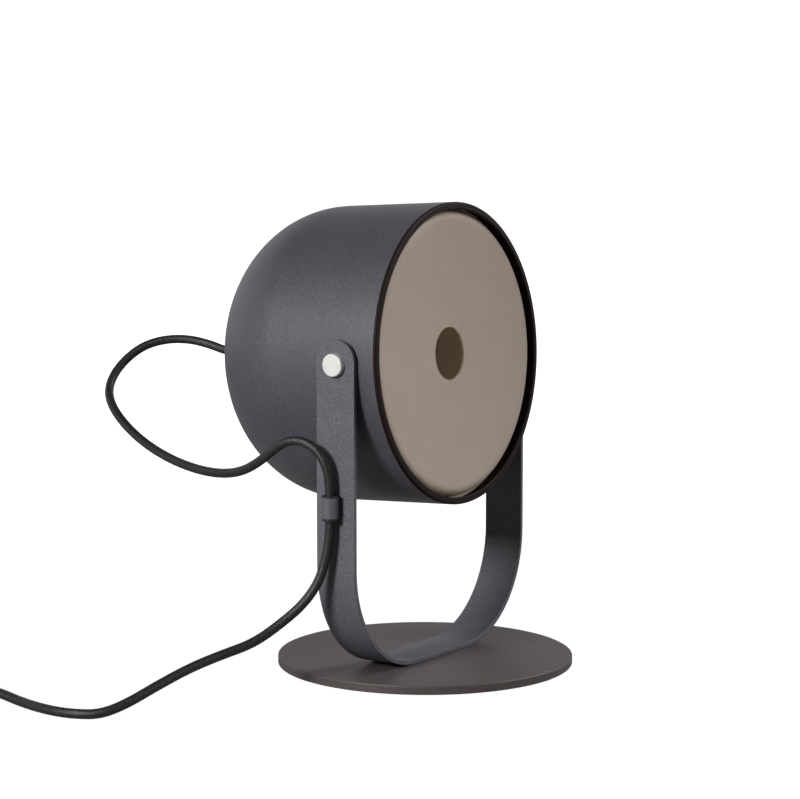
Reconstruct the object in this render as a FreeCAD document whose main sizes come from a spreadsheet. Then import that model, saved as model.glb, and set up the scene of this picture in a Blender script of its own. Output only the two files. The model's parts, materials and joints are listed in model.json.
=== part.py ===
"""Tabletop searchlight lamp, a FreeCAD macro in millimetres.

A deep dome shade hangs between the arms of a U-shaped strap yoke, which stands on a round
steel foot. The origin is the middle of the foot's underside, +Z is up and the lamp shines
towards -Y. Every piece of the head is drawn in the head's own frame, whose origin is the
middle of the tilt axis and whose -Y is the way the lamp shines, and is then tilted.
"""
import FreeCAD, Part
import math
import os
import re
import Sketcher

Vector = FreeCAD.Vector

SIZES = {
    # foot
    "base_diameter": 199.0,
    "base_thickness": 6.0,
    "base_edge_round": 0.9,
    "pad_diameter": 176.0,
    "pad_thickness": 1.3,
    "pad_proud": 0.5,
    "pad_clearance": 0.2,
    # yoke
    "yoke_inner_width": 202.6,
    "strap_width": 29.2,
    "strap_thickness": 3.0,
    "strap_bend_radius": 69.0,
    "strap_edge_round": 0.4,
    "strap_end_rise": 1.4,
    "pivot_height": 209.7,
    # welded studs that hold the yoke on the foot
    "stud_diameter": 4.0,
    "stud_spacing": 44.0,
    "stud_tip_inset": 0.1,
    "nut_flats": 7.0,
    "nut_height": 2.2,
    "stud_washer_diameter": 9.0,
    "stud_washer_thickness": 0.8,
    "counterbore_diameter": 12.0,
    "fastener_clearance": 0.05,
    # cable collar on the arm
    "clip_height": 119.4,
    "clip_length": 13.6,
    "clip_diameter": 11.2,
    "clip_standoff": 5.7,
    "clip_foot_width": 6.4,
    "clip_edge": 0.4,
    "clip_screw_diameter": 2.5,
    "clip_screw_head": 5.4,
    "clip_screw_head_height": 1.6,
    "clip_screw_reach": 1.4,
    "clip_screw_key": 1.6,
    # rubber bush that the collar holds the cord by
    "bush_wall": 0.9,
    "bush_fit": 0.05,
    "bush_top_flange": 11.2,
    "bush_top_height": 1.0,
    "bush_foot_flange": 10.2,
    "bush_foot_height": 1.4,
    "bush_round": 0.4,
    # cord
    "cord_diameter": 6.2,
    "cord_clearance": 0.05,
    # shade
    "shade_diameter": 200.0,
    "shade_depth": 164.4,
    "shade_wall": 1.5,
    "barrel_length": 85.0,
    "crown_bulge": 7.4,
    "pivot_setback": 28.2,
    "head_tilt": 2.4,
    # black ring pressed into the shade's mouth
    "trim_face": 4.6,
    "trim_depth": 2.0,
    "trim_round": 1.4,
    "trim_inner_round": 0.5,
    "trim_tongue": 1.2,
    "trim_tongue_length": 7.0,
    "trim_fit": 0.1,
    # tilt pivots
    "pivot_head_diameter": 15.0,
    "pivot_head_height": 3.6,
    "pivot_head_bevel": 0.5,
    "pivot_shank": 6.0,
    "pivot_shank_length": 15.0,
    "pivot_fit": 0.05,
    "face_gap": 0.05,
    "spacer_diameter": 16.0,
    "insert_diameter": 9.0,
    "insert_flange": 18.0,
    "insert_flange_height": 2.0,
    "insert_fit": 0.1,
    # diffuser and what holds it
    "diffuser_setback": 3.0,
    "diffuser_dish": 6.0,
    "diffuser_edge": 6.0,
    "diffuser_thickness": 1.6,
    "diffuser_skirt": 13.0,
    "diffuser_gap": 0.3,
    "diffuser_hole": 35.5,
    "ring_bore": 176.0,
    "ring_thickness": 1.5,
    "ring_skirt": 5.5,
    "ring_gap": 0.05,
    "clip_tongue_width": 8.0,
    "clip_tongue_thickness": 0.8,
    "clip_tongue_height": 4.4,
    "clip_tongue_gap": 0.3,
    # lamp holder, seated against the back of the shade
    "holder_diameter": 34.0,
    "holder_cap_length": 13.7,
    "holder_cap_plate": 2.2,
    "holder_wall": 1.6,
    "holder_skirt_length": 36.0,
    "holder_flange_diameter": 38.0,
    "holder_flange_length": 3.0,
    "holder_bore": 28.6,
    "insulator_thickness": 7.0,
    "shell_length": 22.0,
    "shell_wall": 0.5,
    "shell_gap": 0.2,
    "contact_diameter": 8.0,
    "contact_height": 1.0,
    # hollow threaded nipple
    "nipple_diameter": 10.0,
    "nipple_bore": 7.0,
    "nipple_inside": 9.7,
    "nipple_reach": 11.6,
    "nipple_nut_flats": 14.0,
    "nipple_nut_height": 3.0,
    # bulb, screwed in as far as the holder's contact
    "bulb_diameter": 60.0,
    "bulb_length": 103.0,
    "bulb_cone_angle": 68.0,
    "bulb_neck_diameter": 25.0,
    "bulb_neck_length": 5.0,
    "bulb_glass_wall": 0.8,
    "bulb_cap_diameter": 26.2,
    "bulb_contact_height": 3.0,
    "bulb_cap_wall": 0.4,
    "bulb_contact_diameter": 9.0,
    # cord grip behind the shade
    "grip_length": 20.0,
    "grip_flange_diameter": 18.0,
    "grip_flange_length": 4.0,
    "grip_shoulder_diameter": 14.0,
    "grip_shoulder_length": 8.0,
    "grip_tip_diameter": 8.8,
    "grip_seat": 0.1,
    # in-line switch, lying along Y
    "switch_centre_across": -243.0,
    "switch_centre_along": 221.0,
    "switch_length": 62.0,
    "switch_width": 26.0,
    "switch_corner": 10.0,
    "switch_split": 7.0,
    "switch_height": 16.0,
    "switch_wall": 2.0,
    "switch_cavity": 34.0,
    "switch_edge_round": 2.5,
    # rubber boots that the cord enters the switch by
    "boot_length": 22.0,
    "boot_seat": 1.5,
    "boot_fit": 0.05,
    "boot_root_diameter": 10.8,
    "boot_tip_diameter": 9.0,
    "boot_mouth_diameter": 7.4,
    "boot_flare": 10.0,
    "boot_rib_height": 0.5,
    "cord_entry_height": 6.5,
    "rocker_length": 17.0,
    "rocker_width": 10.6,
    "rocker_proud": 2.2,
    "rocker_pivot_height": 11.2,
    "rocker_pin_diameter": 2.4,
    "rocker_pin_length": 14.6,
    "rocker_gap": 0.4,
    "rocker_end_gap": 0.9,
    "rocker_tilt": 7.0,
    "rib_thickness": 2.0,
    "rib_width": 6.0,
    "terminal_length": 7.0,
    "terminal_width": 8.0,
    "terminal_height": 3.6,
    "terminal_offset": 12.0,
    "contact_strip": 0.4,
    "contact_width": 4.0,
    "contact_reach": 14.5,
    "contact_lift": 1.4,
    "contact_bend_start": 9.0,
    "contact_bend_end": 4.0,
    "rivet_shank": 1.5,
    "rivet_head": 2.8,
    "rivet_head_height": 0.6,
    "rivet_depth": 1.8,
    "rivet_fit": 0.05,
    "wire_bore": 2.0,
    "switch_screw_diameter": 2.5,
    "switch_screw_head": 4.8,
    "switch_screw_head_height": 1.6,
    "switch_screw_sink": 0.4,
    "switch_screw_length": 10.0,
    "switch_screw_across": 7.5,
    "switch_screw_along": 23.0,
    "switch_screw_key": 1.3,
    # put-away coil
    "coil_centre_across": -204.8,
    "coil_centre_along": 302.0,
    "coil_mean_radius": 35.1,
    "coil_rows": 2.0,
    "coil_round": 2.8,
    # flat two-pin plug, lying with its pins towards +X
    "plug_back": -160.0,
    "plug_along": 340.2,
    "plug_length": 46.0,
    "plug_width": 35.3,
    "plug_thickness": 13.7,
    "plug_shoulder_width": 15.0,
    "plug_slope": 9.0,
    "plug_edge_round": 2.0,
    "plug_corner_round": 4.0,
    "neck_length": 20.0,
    "neck_tail_diameter": 9.0,
    "neck_root_diameter": 12.4,
    "neck_sunk": 3.0,
    "neck_rib_width": 2.2,
    "neck_rib_pitch": 4.2,
    "neck_rib_height": 0.6,
    "pin_diameter": 4.0,
    "pin_length": 19.0,
    "pin_spacing": 18.6,
    "pin_tip_round": 1.2,
    "pin_core": 3.0,
    "pin_sleeve_length": 10.0,
    "pin_sleeve_diameter": 3.8,
    "pin_sleeve_fit": 0.05,
}

# Values that follow from the sizes, each a formula in the sheet.
WORKED = {
    "foot_top": "pad_proud + base_thickness",
    "pad_recess": "pad_thickness - pad_proud",
    "counterbore_depth": "stud_washer_thickness + nut_height + pad_thickness + 0.2",
    "arm_outer": "yoke_inner_width / 2 + strap_thickness",
    "clip_axis": "arm_outer + clip_standoff",
    "cord_bore": "cord_diameter + 2 * cord_clearance",
    "bush_sleeve": "cord_bore + 2 * bush_wall",
    "collar_bore": "bush_sleeve + 2 * bush_fit",
    "shade_radius": "shade_diameter / 2",
    "crown_run": "shade_depth - barrel_length",
    "shoulder_radius": "crown_run - crown_bulge",
    "crown_drop": "shade_radius - shoulder_radius",
    "crown_radius": "(crown_run ^ 2 + crown_drop ^ 2 - shoulder_radius ^ 2)"
                    " / (2 * crown_bulge)",
    "crown_lean": "crown_drop / (crown_radius - shoulder_radius)",
    "crown_rise": "(crown_radius - crown_run) / (crown_radius - shoulder_radius)",
    "crown_centre": "shade_depth - crown_radius",
    "trim_seat": "trim_depth + face_gap",
    "diffuser_radius": "shade_radius - trim_face - diffuser_gap",
    "edge_centre_radius": "diffuser_radius - diffuser_edge",
    "edge_centre": "diffuser_setback + diffuser_edge",
    "dish_bottom": "diffuser_setback + diffuser_dish",
    "dish_radius": "(edge_centre_radius ^ 2 + (edge_centre - dish_bottom) ^ 2"
                   " - diffuser_edge ^ 2)"
                   " / (2 * (diffuser_edge - edge_centre + dish_bottom))",
    "dish_centre": "dish_bottom - dish_radius",
    "edge_lean": "edge_centre_radius / (dish_radius + diffuser_edge)",
    "edge_rise": "(edge_centre - dish_centre) / (dish_radius + diffuser_edge)",
    "hole_radius": "diffuser_hole / 2",
    "ring_radius": "shade_radius - shade_wall - ring_gap",
    "holder_back": "shade_depth - shade_wall - (crown_radius - shade_wall)"
                   " + sqrt((crown_radius - shade_wall) ^ 2 - (holder_diameter / 2) ^ 2) - 0.1",
    "holder_cap_front": "holder_back - holder_cap_length",
    "holder_front": "holder_cap_front - holder_skirt_length",
    "insulator_front": "holder_cap_front - insulator_thickness",
    "nipple_front": "holder_back - nipple_inside",
    "bulb_cap_back": "insulator_front - contact_height - bulb_contact_height",
    "bulb_front": "bulb_cap_back - bulb_length",
    "bulb_radius": "bulb_diameter / 2",
    "bulb_centre": "bulb_front + bulb_radius",
    "neck_radius": "bulb_neck_diameter / 2",
    "switch_back": "switch_centre_along + switch_length / 2",
    "coil_outer": "coil_mean_radius + coil_rows * cord_diameter / 2",
    "coil_inner": "coil_mean_radius - coil_rows * cord_diameter / 2",
    "coil_height": "coil_rows * cord_diameter",
}

# The cord's route past its straight start, chosen by hand: behind the shade, round its near
# side and down into the collar.
LOOP_START = 11.0  # how far straight out of the grip it runs
LOOP_SEAT = 2.0  # and how far inside the grip it begins
LOOP_POINTS = [
    (-2.0, 182.0, 207.5), (-7.5, 196.5, 211.0), (-16.5, 210.0, 211.0), (-27.5, 221.0, 207.0),
    (-38.5, 228.0, 198.5), (-50.0, 230.5, 188.0), (-60.0, 227.5, 177.5), (-69.0, 217.0, 168.0),
    (-76.5, 200.5, 158.0), (-84.5, 179.5, 149.0), (-92.5, 156.0, 142.0), (-99.5, 131.5, 137.0),
    (-106.0, 107.5, 134.5), (-111.0, 85.5, 134.5), (-114.5, 66.5, 138.0), (-116.0, 51.5, 145.5),
    (-116.5, 39.5, 154.5), (-116.0, 28.5, 161.0), (-114.5, 16.5, 161.0), (-113.0, 6.5, 155.0),
    (-111.5, 1.0, 145.0),
]
LOOP_DROP = 12.6  # straight run down into the collar

# From the collar down beside the arm, over the edge of the foot and along the table.
LEAD_DROP = 14.9  # straight run down out of the collar
LEAD_POINTS = [
    (-111.0, 2.0, 89.0), (-114.0, 5.5, 72.5), (-121.0, 13.0, 58.0), (-132.0, 23.0, 46.0),
    (-147.5, 33.0, 35.0), (-166.0, 44.5, 29.5), (-187.0, 53.0, 24.0), (-209.0, 61.0, 16.0),
    (-229.0, 68.0, 8.0), (-243.0, 77.0, 3.2), (-251.0, 91.0, 3.2), (-252.5, 107.0, 3.2),
    (-250.0, 124.0, 3.2), (-245.6, 141.0, 3.2), (-243.0, 166.3, 6.5),
]

# From the switch to the coil, and from the coil to the plug.
COIL_ENTRY_POINTS = [(-243.0, 276.0, 6.5)]
PLUG_LEAD_POINTS = [(-191.0, 340.1, 8.6), (-174.0, 340.2, 6.85)]

document = FreeCAD.newDocument("SearchlightLamp")


def fill_sheet():
    """Write each size as a plain number, and each worked value as a formula."""
    sheet = document.addObject("Spreadsheet::Sheet", "Sizes")
    rows = [(name, str(number)) for name, number in SIZES.items()]
    rows += [(name, "=" + formula) for name, formula in WORKED.items()]
    for row, (name, content) in enumerate(rows, start=1):
        sheet.set(f"A{row}", name)
        sheet.set(f"B{row}", content)
        sheet.setAlias(f"B{row}", name)
    document.recompute()
    return sheet


sheet = fill_sheet()
ALIAS = re.compile(r"\b(" + "|".join(list(SIZES) + list(WORKED)) + r")\b")


def bound(formula):
    """The formula as another object has to write it, with the sheet's name before each size."""
    return ALIAS.sub(r"Sizes.\1", str(formula))


def number(formula):
    """What a formula of sizes is worth now."""
    return float(sheet.evalExpression(str(formula)))


def drive(item, **formulas):
    """Bind properties of an object to formulas of sizes; __ stands for a dot."""
    for name, formula in formulas.items():
        item.setExpression(name.replace("__", "."), bound(formula))


def station(formula):
    """A place measured back from the rim, in the head's frame."""
    return f"({formula}) - pivot_setback"


def arc_centre(start, end, radius, left, large):
    """Centre of the arc from start to end that turns left or right."""
    middle = (start + end) * 0.5
    chord = end - start
    offset = math.sqrt(max(radius ** 2 - (chord.Length / 2) ** 2, 0.0))
    side = 1.0 if left != large else -1.0
    normal = Vector(-chord.y, chord.x, 0).normalize()
    return middle + normal * (side * offset)


def draw_arc(start, end, radius, left, large):
    """An arc of circle from start to end; FreeCAD keeps every arc anticlockwise."""
    centre = arc_centre(start, end, radius, left, large)
    first, last = (start, end) if left else (end, start)
    angles = [math.atan2(p.y - centre.y, p.x - centre.x) for p in (first, last)]
    if angles[1] <= angles[0]:
        angles[1] += 2 * math.pi
    circle = Part.Circle(centre, Vector(0, 0, 1), radius)
    return Part.ArcOfCircle(circle, angles[0], angles[1])


def attach(body, plane, name, lift="0"):
    """A new sketch on one of the body's own origin planes, lifted off it if asked."""
    sketch = body.newObject("Sketcher::SketchObject", name)
    support = [item for item in body.Origin.OriginFeatures if item.Role == plane][0]
    sketch.AttachmentSupport = [(support, "")]
    sketch.MapMode = "FlatFace"
    drive(sketch, AttachmentOffset__Base__z=lift)
    return sketch


def fix(sketch, kind, places, formula):
    """Add one driving dimension and bind it to the sheet."""
    index = sketch.addConstraint(Sketcher.Constraint(kind, *places, number(formula)))
    name = f"size{index}"
    sketch.renameConstraint(index, name)
    sketch.setExpression(f"Constraints.{name}", bound(formula))


def outline(body, plane, name, start, steps, lift="0"):
    """A closed outline. Each step is (x, y), or (x, y, radius, turn) for an arc, where the
    turn is left, right, or left/right large for the longer way round."""
    sketch = attach(body, plane, name, lift)
    corners = [start] + [step[:2] for step in steps]
    points = [Vector(number(x), number(y), 0) for x, y in corners]
    if (points[-1] - points[0]).Length > 1e-7:
        steps = steps + [start]
        points.append(points[0])
    ends = []
    for index, step in enumerate(steps):
        begin, end = points[index], points[index + 1]
        if len(step) == 2:
            edge = sketch.addGeometry(Part.LineSegment(begin, end), False)
            ends.append((edge, 1, 2, None))
            continue
        radius, turn = number(step[2]), step[3]
        left = turn.startswith("left")
        arc = draw_arc(begin, end, radius, left, turn.endswith("large"))
        edge = sketch.addGeometry(arc, False)
        ends.append((edge, 1 if left else 2, 2 if left else 1, step[2]))
    for index, (edge, first, last, radius) in enumerate(ends):
        following = ends[(index + 1) % len(ends)]
        joint = Sketcher.Constraint("Coincident", edge, last, following[0], following[1])
        sketch.addConstraint(joint)
    for (edge, first, last, radius), (x, y) in zip(ends, corners):
        fix(sketch, "DistanceX", (-1, 1, edge, first), x)
        fix(sketch, "DistanceY", (-1, 1, edge, first), y)
        if radius is not None:
            fix(sketch, "Radius", (edge,), radius)
    return sketch


def circles(body, plane, name, holes, lift="0"):
    """Circles, each (x, y, diameter)."""
    sketch = attach(body, plane, name, lift)
    for x, y, diameter in holes:
        circle = Part.Circle(Vector(number(x), number(y), 0), Vector(0, 0, 1),
                             number(diameter) / 2)
        edge = sketch.addGeometry(circle, False)
        fix(sketch, "DistanceX", (-1, 1, edge, 3), x)
        fix(sketch, "DistanceY", (-1, 1, edge, 3), y)
        fix(sketch, "Diameter", (edge,), diameter)
    return sketch


def rectangle(body, plane, name, centre, size, lift="0"):
    """A rectangle by its centre and its two sides."""
    (x, y), (width, height) = centre, size
    corners = [(f"{x} {a} ({width}) / 2", f"{y} {b} ({height}) / 2")
               for a, b in (("-", "-"), ("+", "-"), ("+", "+"), ("-", "+"))]
    return outline(body, plane, name, corners[0], corners[1:], lift)


def hexagon_outline(body, plane, name, flats, lift="0"):
    """A hexagon about the middle of the plane, by its width across flats."""
    reach = f"({flats}) / sqrt(3)"
    corners = [(f"{reach} * {math.cos(math.radians(angle)):.6f}",
                f"{reach} * {math.sin(math.radians(angle)):.6f}")
               for angle in range(0, 360, 60)]
    return outline(body, plane, name, corners[0], corners[1:], lift)


def new_body(label):
    body = document.addObject("PartDesign::Body", label)
    body.Label = label
    return body


def feature(body, kind, name, sketch, **formulas):
    """A sketch-based feature of the body, at its tip."""
    item = body.newObject("PartDesign::" + kind, name)
    item.Profile = sketch
    drive(item, **formulas)
    return item


def revolve(body, sketch, axis="V_Axis"):
    turned = feature(body, "Revolution", body.Name + "_turned", sketch)
    turned.ReferenceAxis = (sketch, [axis])
    turned.Angle = 360.0
    return turned


def pad(body, sketch, length, symmetric=False, reverse=False):
    item = feature(body, "Pad", sketch.Name + "_pad", sketch, Length=length)
    item.SideType = "Symmetric" if symmetric else "One side"
    item.Reversed = reverse
    return item


def settle():
    """Recompute, and stop at the first object that failed."""
    document.recompute()
    for item in document.Objects:
        if "Invalid" in item.State or "Error" in item.State:
            raise RuntimeError(f"{item.Label} failed: {item.getStatusString()}")


def pocket(body, sketch, length=None, symmetric=False, reverse=False):
    """Cut the sketch out of the body, and make sure that it did cut."""
    settle()
    before = body.Shape.Volume
    item = body.newObject("PartDesign::Pocket", sketch.Name + "_cut")
    item.Profile = sketch
    item.SideType = "Symmetric" if symmetric else "One side"
    item.Reversed = reverse
    if length is None:
        item.Type = "ThroughAll"
    else:
        drive(item, Length=length)
    settle()
    if body.Shape.Volume >= before - 1e-6:
        raise RuntimeError(f"{item.Name} cuts nothing from {body.Label}")
    return item


def dress(body, kind, size, chosen):
    """Fillet or chamfer the edges of the body's tip that the test picks."""
    settle()
    names = [f"Edge{i}" for i, edge in enumerate(body.Shape.Edges, start=1) if chosen(edge)]
    if not names:
        raise RuntimeError(f"no edges to dress on {body.Label}")
    tip = body.Tip
    item = body.newObject("PartDesign::" + kind, f"{body.Name}_{kind.lower()}{len(body.Group)}")
    item.Base = (tip, names)
    drive(item, **{"Radius" if kind == "Fillet" else "Size": size})
    settle()
    return item


def on_head(item):
    """Put a piece drawn in the head's frame at the tilt axis, tilted with the head."""
    item.Placement = FreeCAD.Placement(Vector(0, 0, number("pivot_height")),
                                       FreeCAD.Rotation(Vector(1, 0, 0), -1.0))
    drive(item, Placement__Base__z="pivot_height", Placement__Rotation__Angle="-head_tilt")
    return item


def at(item, x="0", y="0", z="0"):
    drive(item, Placement__Base__x=x, Placement__Base__y=y, Placement__Base__z=z)
    return item


def turned_about_y(label, start, steps):
    """A piece of the head, turned about the head's axis; each point is (radius, place)."""
    body = new_body(label)
    revolve(body, outline(body, "XY_Plane", label + "_profile", start, steps))
    return on_head(body)


def cylinder(name, diameter, height, x="0", y="0", z="0"):
    item = document.addObject("Part::Cylinder", name)
    drive(item, Radius=f"({diameter}) / 2", Height=height)
    return at(item, x, y, z)


def hexagon(name, flats, height, x="0", y="0", z="0"):
    item = document.addObject("Part::Prism", name)
    item.Polygon = 6
    drive(item, Circumradius=f"({flats}) / sqrt(3)", Height=height)
    return at(item, x, y, z)


def cut(name, base, tool):
    item = document.addObject("Part::Cut", name)
    item.Base, item.Tool = base, tool
    return item


def group(label, pieces):
    """Separate solids that share one node."""
    item = document.addObject("Part::Compound", label)
    item.Label = label
    item.Links = pieces
    return item


def build_foot():
    base = new_body("base_plate")
    radius, top = "base_diameter / 2", "foot_top"
    recess = "pad_diameter / 2 + pad_clearance"
    soft = "base_edge_round"
    profile = outline(base, "XZ_Plane", "base_profile", ("0", "pad_thickness"), [
        (recess, "pad_thickness"),
        (recess, "pad_proud"),
        (f"{radius} - {soft}", "pad_proud"),
        (radius, f"pad_proud + {soft}", soft, "left"),
        (radius, f"{top} - {soft}"),
        (f"{radius} - {soft}", top, soft, "left"),
        ("0", top),
    ])
    revolve(base, profile)
    spots = [("-stud_spacing / 2", "0"), ("stud_spacing / 2", "0")]
    bores = [(x, y, "stud_diameter + 0.4") for x, y in spots]
    sinks = [(x, y, "counterbore_diameter") for x, y in spots]
    pocket(base, circles(base, "XY_Plane", "stud_bores", bores), reverse=True)
    pocket(base, circles(base, "XY_Plane", "nut_sinks", sinks),
           "counterbore_depth", reverse=True)
    pad_body = new_body("base_pad")
    pad(pad_body, circles(pad_body, "XY_Plane", "pad_disc", [("0", "0", "pad_diameter")]),
        "pad_thickness")


def build_yoke():
    yoke = new_body("yoke_strap")
    inner, outer, bend = "yoke_inner_width / 2", "arm_outer", "strap_bend_radius"
    wide = "strap_bend_radius + strap_thickness"
    corner = f"({inner} - {bend})"
    floor, seat = "foot_top", "(foot_top + strap_thickness)"
    rise = f"foot_top + {wide}"
    tip = "pivot_height + strap_end_rise + strap_width / 2"
    profile = outline(yoke, "XZ_Plane", "yoke_profile", (f"-{outer}", tip), [
        (f"-{outer}", rise),
        (f"-{corner}", floor, wide, "left"),
        (corner, floor),
        (outer, rise, wide, "left"),
        (outer, tip),
        (inner, tip),
        (inner, rise),
        (corner, seat, bend, "right"),
        (f"-{corner}", seat),
        (f"-{inner}", rise, bend, "right"),
        (f"-{inner}", tip),
    ])
    pad(yoke, profile, "strap_width", symmetric=True)
    half, spring = "strap_width / 2", "pivot_height + strap_end_rise"
    above = f"{spring} + strap_width"
    ends = outline(yoke, "YZ_Plane", "round_ends", (f"-{half} - 1", spring), [
        (f"-{half}", spring),
        ("0", f"{spring} + {half}", half, "right"),
        (half, spring, half, "right"),
        (f"{half} + 1", spring),
        (f"{half} + 1", above),
        (f"-{half} - 1", above),
    ])
    pocket(yoke, ends, symmetric=True)
    dress(yoke, "Fillet", "strap_edge_round", is_strap_corner)
    bores = circles(yoke, "YZ_Plane", "pivot_bores",
                    [("0", "pivot_height", "pivot_shank + 2 * pivot_fit")])
    pocket(yoke, bores, symmetric=True)
    hole = circles(yoke, "YZ_Plane", "collar_hole",
                   [("0", "clip_height", "clip_screw_diameter + 2 * fastener_clearance")])
    pocket(yoke, hole, "arm_outer + 1")


def is_strap_corner(edge):
    """Whether an edge of the strap runs along its length, on one of its four corners."""
    box = edge.BoundBox
    across = box.XLength < number("strap_thickness") + 0.01 and box.ZLength < 0.01
    return not across


def build_studs():
    studs, washers, nuts = [], [], []
    for side, sign in (("left", "-"), ("right", "")):
        x = f"{sign}stud_spacing / 2"
        tip = "pad_thickness + stud_tip_inset"
        studs.append(cylinder(f"stud_{side}", "stud_diameter", f"foot_top - ({tip})", x, "0", tip))
        washer_low = "counterbore_depth - stud_washer_thickness"
        nut_low = f"{washer_low} - nut_height"
        washer = cylinder(f"washer_disc_{side}", "stud_washer_diameter",
                          "stud_washer_thickness", x, "0", washer_low)
        bore = cylinder(f"washer_bore_{side}", "stud_diameter + 0.3",
                        "stud_washer_thickness", x, "0", washer_low)
        washers.append(cut(f"washer_{side}", washer, bore))
        prism = hexagon(f"nut_prism_{side}", "nut_flats", "nut_height", x, "0", nut_low)
        thread = cylinder(f"nut_bore_{side}", "stud_diameter + 2 * fastener_clearance",
                          "nut_height", x, "0", nut_low)
        nuts.append(cut(f"nut_{side}", prism, thread))
    group("yoke_studs", studs)
    group("stud_washers", washers)
    group("stud_nuts", nuts)


def build_collar():
    clip = new_body("cord_collar")
    radius, foot = "clip_diameter / 2", "clip_foot_width / 2"
    neck = f"-clip_axis + sqrt(({radius}) ^ 2 - ({foot}) ^ 2)"
    profile = outline(clip, "XY_Plane", "collar_profile", ("-arm_outer", f"-{foot}"), [
        ("-arm_outer", foot),
        (neck, foot),
        (neck, f"-{foot}", radius, "left large"),
    ])
    pad(clip, profile, "clip_length", symmetric=True)
    pocket(clip, circles(clip, "XY_Plane", "collar_bore_circle", [("-clip_axis", "0", "collar_bore")]),
           symmetric=True)
    core = circles(clip, "YZ_Plane", "collar_core",
                   [("0", "0", "clip_screw_diameter + 2 * fastener_clearance")])
    pocket(clip, core, "clip_axis - collar_bore / 2")
    edge_radius = number(radius)

    def at_ends(edge):
        return (edge.Curve.TypeId == "Part::GeomCircle"
                and abs(edge.Curve.Radius - edge_radius) < 0.01)

    dress(clip, "Chamfer", "clip_edge", at_ends)
    at(clip, z="clip_height")
    screw = new_body("collar_screw")
    face, shank, head = "(yoke_inner_width / 2)", "clip_screw_diameter / 2", "clip_screw_head / 2"
    profile = outline(screw, "XY_Plane", "collar_screw_profile",
                      (f"-{face} - strap_thickness - clip_screw_reach", "0"), [
        (f"-{face} - strap_thickness - clip_screw_reach", shank),
        (f"-{face}", shank),
        (f"-{face}", head),
        (f"-{face} + clip_screw_head_height", f"{head} - 0.6",
         "clip_screw_head_height * 1.2", "right"),
        (f"-{face} + clip_screw_head_height", "0"),
    ])
    revolve(screw, profile, "H_Axis")
    key = hexagon_outline(screw, "YZ_Plane", "collar_screw_key", "clip_screw_key")
    pocket(screw, key, f"{face} - clip_screw_head_height / 3")
    at(screw, z="clip_height")


def build_collar_bush():
    """The rubber sleeve between the collar and the cord, with a flange at each end."""
    bush = new_body("collar_bush")
    bore, sleeve, soft = "cord_bore / 2", "bush_sleeve / 2", "bush_round"
    top, foot = "bush_top_flange / 2", "bush_foot_flange / 2"
    seat = "(clip_length / 2 + bush_fit)"
    high, low = f"({seat} + bush_top_height)", f"({seat} + bush_foot_height)"
    profile = outline(bush, "XZ_Plane", "bush_profile", (bore, f"-{low}"), [
        (f"{foot} - {soft}", f"-{low}"),
        (foot, f"-{low} + {soft}", soft, "left"),
        (foot, f"-{seat}"),
        (sleeve, f"-{seat}"),
        (sleeve, seat),
        (top, seat),
        (top, f"{high} - {soft}"),
        (f"{top} - {soft}", high, soft, "left"),
        (bore, high),
    ])
    revolve(bush, profile)
    at(bush, x="-clip_axis", z="clip_height")


def build_rim_trim():
    """The black ring in the shade's mouth: a rounded face, and a tongue inside the wall."""
    inner, soft, small = "(shade_radius - trim_face)", "trim_round", "trim_inner_round"
    tongue = "(shade_radius - shade_wall - trim_fit)"
    back = "trim_depth + trim_tongue_length"
    turned_about_y("rim_trim", (inner, station(small)), [
        (f"{inner} + {small}", station("0"), small, "left"),
        (f"shade_radius - {soft}", station("0")),
        ("shade_radius", station(soft), soft, "left"),
        ("shade_radius", station("trim_depth")),
        (tongue, station("trim_depth")),
        (tongue, station(back)),
        (f"{tongue} - trim_tongue", station(back)),
        (f"{tongue} - trim_tongue", station("trim_depth")),
        (inner, station("trim_depth")),
    ])


def build_shade():
    body = new_body("shade")
    wall, outer = "shade_wall", "shade_radius"
    inner = "(shade_radius - shade_wall)"

    def shoulder(radius):
        """Where the crown of this radius meets the shoulder."""
        return (f"({radius}) * crown_lean",
                station(f"crown_centre + ({radius}) * crown_rise"))

    outer_meet, inner_meet = shoulder("crown_radius"), shoulder("crown_radius - shade_wall")
    profile = outline(body, "XY_Plane", "shade_profile", ("0", station("shade_depth")), [
        (*outer_meet, "crown_radius", "right"),
        (outer, station("barrel_length"), "shoulder_radius", "right"),
        (outer, station("trim_seat")),
        (inner, station("trim_seat")),
        (inner, station("barrel_length")),
        (*inner_meet, f"shoulder_radius - {wall}", "left"),
        ("0", station(f"shade_depth - {wall}"), f"crown_radius - {wall}", "left"),
    ])
    revolve(body, profile)
    pocket(body, circles(body, "XZ_Plane", "nipple_hole",
                         [("0", "0", "nipple_diameter + 2 * insert_fit")]))
    pocket(body, circles(body, "YZ_Plane", "insert_holes",
                         [("0", "0", "insert_diameter + 2 * insert_fit")]), symmetric=True)
    on_head(body)


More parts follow.
